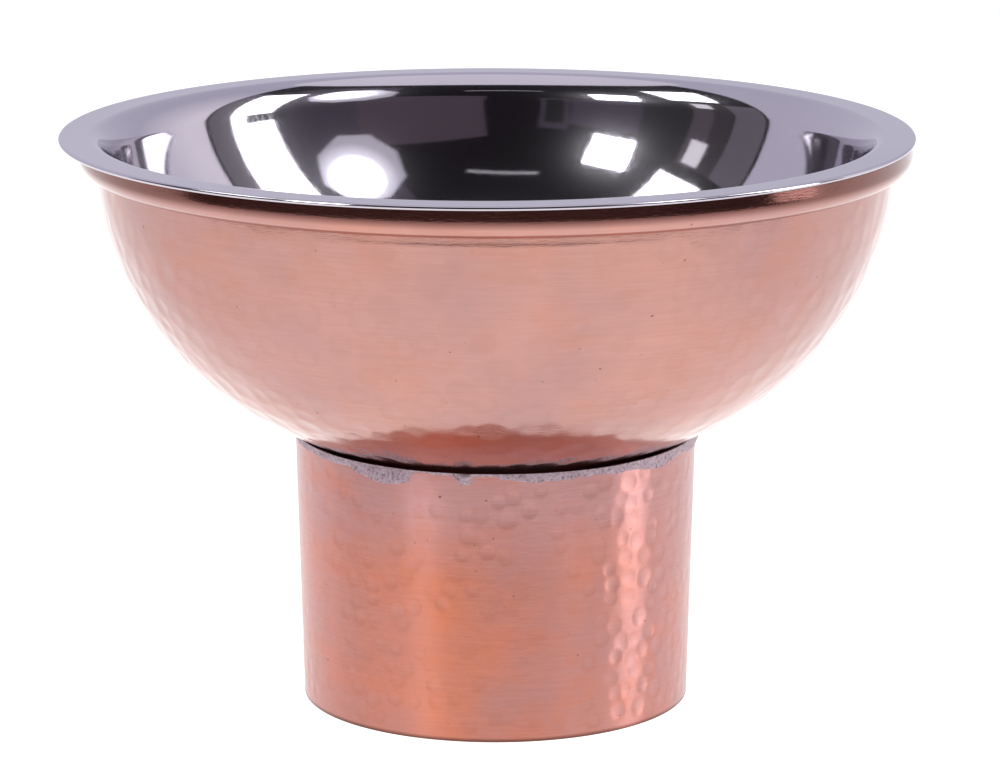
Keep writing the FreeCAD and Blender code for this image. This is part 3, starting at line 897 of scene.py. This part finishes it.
def make_table():
    """The white table. Its front edge is near the font, and it has a hole inside the foot."""
    soft = bpy.data.materials.new("table_white")
    soft.use_nodes = True
    shader = soft.node_tree.nodes["Principled BSDF"]
    shader.inputs["Base Color"].default_value = (0.2, 0.2, 0.2, 1)
    shader.inputs["Roughness"].default_value = 0.9
    shader.inputs["Specular IOR Level"].default_value = 0.0
    shader.inputs["Emission Strength"].default_value = 1.32
    # The table glows, and its glow is graded with distance from the font: painted shade close to the foot,
    # a painted pool of light round it, and dimmer further out.
    near_to_far = [(0.06, 0.95), (0.1, 0.97), (0.16, 1.0), (0.3, 0.92), (0.5, 0.9), (1.0, 0.84)]
    stops = [(where, (value,) * 3) for where, value in near_to_far]
    colour = distance_ramp(soft.node_tree, (0, 0, 0), 1.3, stops)
    soft.node_tree.links.new(colour, shader.inputs["Emission Color"])
    turn = np.linspace(0, 2 * math.pi, TABLE_COLUMNS, endpoint=False)
    hole = FOOT_BASE_RADIUS - COPPER / 2
    front_edge = 0.85
    behind = np.clip(0.5 + 2.2 * np.sin(turn), 0, 1)
    far = front_edge + (TENT_RADIUS - front_edge) * behind**2 * (3 - 2 * behind)
    rings = [np.full(TABLE_COLUMNS, radius) for radius in (hole, 0.3, 0.8)] + [far]
    points = [
        (r * math.cos(a), r * math.sin(a), 0) for ring in rings for r, a in zip(ring, turn)
    ]
    faces = []
    for k in range(len(rings) - 1):
        nearer, farther = k * TABLE_COLUMNS, (k + 1) * TABLE_COLUMNS
        for j in range(TABLE_COLUMNS):
            next_j = (j + 1) % TABLE_COLUMNS
            faces.append((nearer + j, farther + j, farther + next_j, nearer + next_j))
    table = mesh_object("table", points, faces)
    table.data.materials.append(soft)


def make_tent():
    """A light tent behind and over the font, open towards the camera below the ceiling."""
    behind, before = 40, 52  # panels behind the font, and before it, where only the ceiling runs
    azimuths = [OPEN_AZIMUTH + (360 - 2 * OPEN_AZIMUTH) * k / behind for k in range(behind + 1)]
    azimuths += [-OPEN_AZIMUTH + 2 * OPEN_AZIMUTH * k / before for k in range(1, before)]
    elevations = [-8, 0, 12, 26, 42, OPEN_ELEVATION, 70, 80, 88]
    points = [
        STUDIO_CENTRE + TENT_RADIUS * direction(a, e) for e in elevations for a in azimuths
    ]
    count = len(azimuths)
    faces = []
    for k in range(len(elevations) - 1):
        for j in range(count):
            if j < behind or elevations[k] >= OPEN_ELEVATION:
                low, next_j = k * count, (j + 1) % count
                faces.append((low + j, low + next_j, low + count + next_j, low + count + j))
    top = (len(elevations) - 1) * count
    faces.append([top + j for j in range(count)])
    warm_side = (1.16, 1.1, 1.16)
    back = (0.65, 0.64, 0.745)
    dim_side = (0.74, 0.71, 0.82)
    cloth = graded(
        "tent_cloth",
        (TENT_RADIUS, 0, 0.3),
        2 * TENT_RADIUS,
        [(0.2, warm_side), (0.44, back), (0.66, back), (1.0, dim_side)],
    )
    tent = unseen(mesh_object("tent", points, faces), cloth)
    tent.data.materials.append(glow("ceiling_cloth", (1.0, 0.97, 1.05), 0.95))
    ceiling = STUDIO_CENTRE.z + TENT_RADIUS * math.sin(math.radians(OPEN_ELEVATION))
    for face in tent.data.polygons:
        face.material_index = int(face.center.z > ceiling)


def make_room():
    """What stands in the dark before the tent: boxes of light, a board and some grey panels."""
    ball = bmesh.new()
    room_radius, skirting_radius = 4.0, 3.6
    bmesh.ops.create_icosphere(ball, subdivisions=4, radius=room_radius)
    mesh = bpy.data.meshes.new("room")
    ball.to_mesh(mesh)
    ball.free()
    walls = bpy.data.objects.new("room", mesh)
    bpy.context.scene.collection.objects.link(walls)
    unseen(walls, glow("room_dark", (1.0, 0.8, 1.0), 0.012))
    low, high = -1.2, 0.62
    turns = [direction(a, 0) * skirting_radius for a in range(-110, 111, 10)]
    points = [(t.x, t.y, z) for z in (low, high) for t in turns]
    count = len(turns)
    faces = [(k, k + 1, count + k + 1, count + k) for k in range(count - 1)]
    skirting = mesh_object("skirting", points, faces)
    unseen(skirting, glow("skirting_brown", (1.0, 0.72, 0.72), 0.14))

    white = (1.0, 1.0, 1.0)
    octagon = [
        (math.cos(math.radians(12 + 45 * k)), math.sin(math.radians(12 + 45 * k)))
        for k in range(8)
    ]
    hot = STUDIO_CENTRE + 1.5 * direction(55, 41)  # above the octabox's middle, towards +X
    octa = graded(
        "octabox_cloth",
        hot,
        0.6,
        [(0.0, white), (0.18, white), (0.42, (0.16, 0.16, 0.17)), (0.62, (0.075, 0.073, 0.08))],
        9.0,
    )
    bright = glow("softbox_cloth", white, 5.0)
    panel("octabox", 51, 37.5, 28.5, 28.5, octa, corners=octagon)
    panel("strip_box", 84.5, 19, 17, 54, bright)
    panel("right_box", -46.5, 32, 14, 12, glow("right_cloth", white, 16.0))
    panel("tall_box", -78.5, 24, 6.5, 8.5, glow("tall_glow", white, 1.2), away=1.45)
    panel("side_box", -79, 42, 17.5, 17, bright)
    panel("light_bar", -6.5, 45.5, 21, 1.2, glow("bar_glow", white, 0.6))
    arm = [(-1, -1), (1, -0.3), (1, 0.3), (-1, 1)]
    panel("strip_arm", 79.5, 10.8, 15, 4.6, glow("arm_dark", white, 0.03), away=1.4, corners=arm)
    grey = glow("grey_cloth", (1.0, 0.92, 1.05), 0.18)
    dim = glow("dim_cloth", (1.0, 0.85, 1.15), 0.072)
    board = glow("board_warm", (1.0, 0.76, 0.95), 0.098)
    panel("grey_left", 98.2, 20, 9.6, 56, grey, away=1.55)
    panel("dim_left", 58, 24, 32, 64, dim, away=1.8)
    panel("board", 23, 12, 42, 38, board, away=1.7)
    panel("frame", -23, 18, 9.5, 14, dim, away=1.7)
    panel("frame_inside", -23, 18, 6, 9, glow("frame_dark", white, 0.02), away=1.65)
    panel("haze", -42, 14, 26, 18, dim, away=1.8)
    panel("shade_right", -66, 18, 24, 26, glow("shade", white, 0.035), away=1.75)
    panel("post_near", -76.5, 12, 8, 34, glow("post", (1.0, 0.82, 0.95), 0.12), away=1.6)
    panel("post_far", -84.5, 12, 8, 34, glow("post_dim", (1.0, 0.82, 0.95), 0.065), away=1.6)
    panel("grey_right", -96, 12, 13.5, 34, grey, away=1.6)


def make_camera():
    """The camera stands a little above the brim and looks down at the bowl."""
    data = bpy.data.cameras.new("camera")
    data.sensor_width = 36
    data.lens = 165.38
    pitch_down = 12.47
    camera = bpy.data.objects.new("camera", data)
    camera.location = (0.0017, -1.7, 0.4942)
    camera.rotation_euler = (math.radians(90 - pitch_down), 0, 0)
    bpy.context.scene.collection.objects.link(camera)
    bpy.context.scene.camera = camera


def make_world():
    world = bpy.data.worlds.new("white")
    world.use_nodes = True
    world.node_tree.nodes["Background"].inputs["Color"].default_value = (1, 1, 1, 1)
    world.node_tree.nodes["Background"].inputs["Strength"].default_value = 1.0
    bpy.context.scene.world = world
    bpy.context.scene.view_settings.view_transform = "Standard"


make_camera()
make_world()
make_table()
make_tent()
make_room()
make_bowl()
make_foot()
make_seam()
make_solder()
make_basin()
